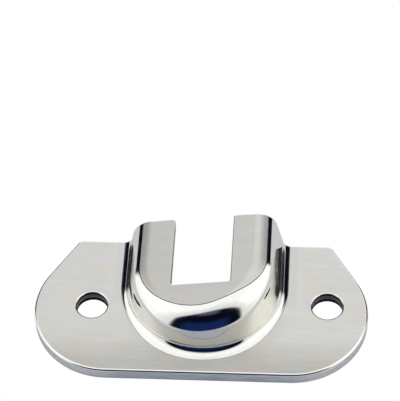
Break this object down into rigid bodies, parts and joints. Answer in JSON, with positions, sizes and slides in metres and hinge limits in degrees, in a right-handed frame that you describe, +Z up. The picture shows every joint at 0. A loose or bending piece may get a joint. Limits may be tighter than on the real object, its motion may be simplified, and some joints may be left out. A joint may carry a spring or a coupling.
{
  "type": "slotted pocket bracket",
  "caption": "Flat flange with a raised hollow pocket, open below and behind, and a wide slot cut in from the back through its sloping roof.",
  "frame": {"origin": "middle of the flange's underside, in the plane that the flange is bolted to", "axes": "+Z up and away from the mounting surface, +Y towards the open back, +X towards the pocket's high side"},
  "size_m": [0.0762, 0.0364, 0.0151],
  "materials": {
    "stainless_steel": "linished satin on the flange and roof, mirror polish on the pocket's walls, shoulder and foot blend"
  },
  "bodies": {
    "root": {"slotted_bracket": "stainless_steel"}
  },
  "joints": []
}
